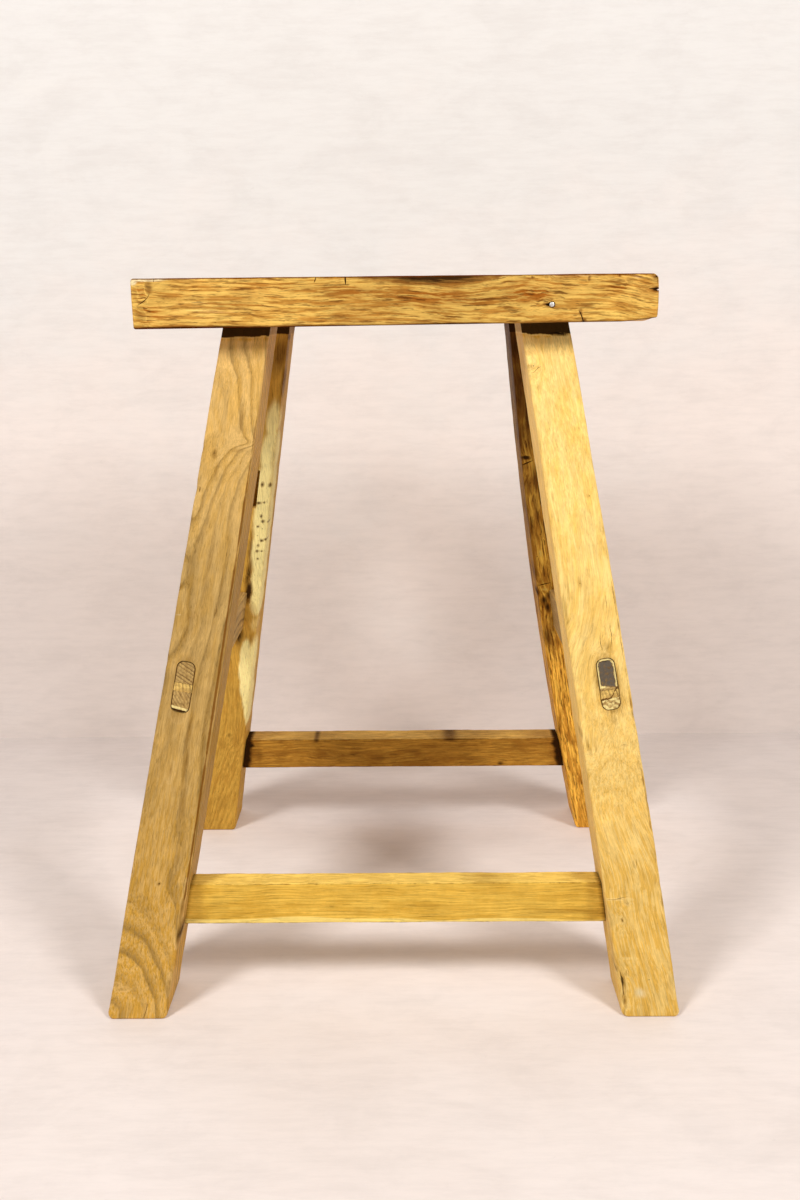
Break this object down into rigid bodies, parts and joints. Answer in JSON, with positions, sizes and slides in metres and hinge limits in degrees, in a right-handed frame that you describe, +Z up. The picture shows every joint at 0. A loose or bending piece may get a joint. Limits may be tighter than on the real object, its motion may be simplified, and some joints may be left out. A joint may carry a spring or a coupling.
{
  "type": "stool",
  "caption": "Rustic rectangular wooden stool: flat plank seat, splayed tapered legs, low long stretchers and higher side stretchers, joined by wedged through tenons.",
  "frame": {"origin": "on the floor, under the middle of the box that holds the stool", "axes": "+X to the right along the seat's length, +Y to the back, +Z up"},
  "size_m": [0.4106, 0.3404, 0.5],
  "materials": {
    "seat_wood": "hand-planed old elm, golden brown, waxed, with a dark patina along its top edges",
    "tan_leg_wood": "hand-planed old elm, tan with wavy grey-brown grain",
    "pale_leg_wood": "hand-planed elm, pale yellow with faint grain",
    "streaked_leg_wood": "elm with a pale sapwood streak, worm pits and dark stains",
    "dark_leg_wood": "darker brown old elm with scribed lines and stains",
    "front_stretcher_wood": "elm with a pale sapwood strip along its lower edge",
    "back_stretcher_wood": "elm, stained dark at its ends",
    "side_stretcher_wood": "elm, with grey-brown end grain on its tenons",
    "wedge_wood": "split hardwood wedge, cut flush",
    "nail_steel": "bright hammered steel"
  },
  "bodies": {
    "root": {"seat_plank": "seat_wood", "front_left_leg": "tan_leg_wood", "front_right_leg": "pale_leg_wood", "back_left_leg": "streaked_leg_wood", "back_right_leg": "dark_leg_wood", "front_stretcher": "front_stretcher_wood", "back_stretcher": "back_stretcher_wood", "left_side_stretcher": "side_stretcher_wood", "right_side_stretcher": "side_stretcher_wood", "front_left_seat_wedge": "wedge_wood", "front_right_seat_wedge": "wedge_wood", "back_left_seat_wedge": "wedge_wood", "back_right_seat_wedge": "wedge_wood", "front_left_side_wedge": "wedge_wood", "front_right_side_wedge": "wedge_wood", "back_left_side_wedge": "wedge_wood", "back_right_side_wedge": "wedge_wood", "front_left_rail_wedge": "wedge_wood", "front_right_rail_wedge": "wedge_wood", "back_left_rail_wedge": "wedge_wood", "back_right_rail_wedge": "wedge_wood", "seat_nail": "nail_steel"}
  },
  "joints": []
}
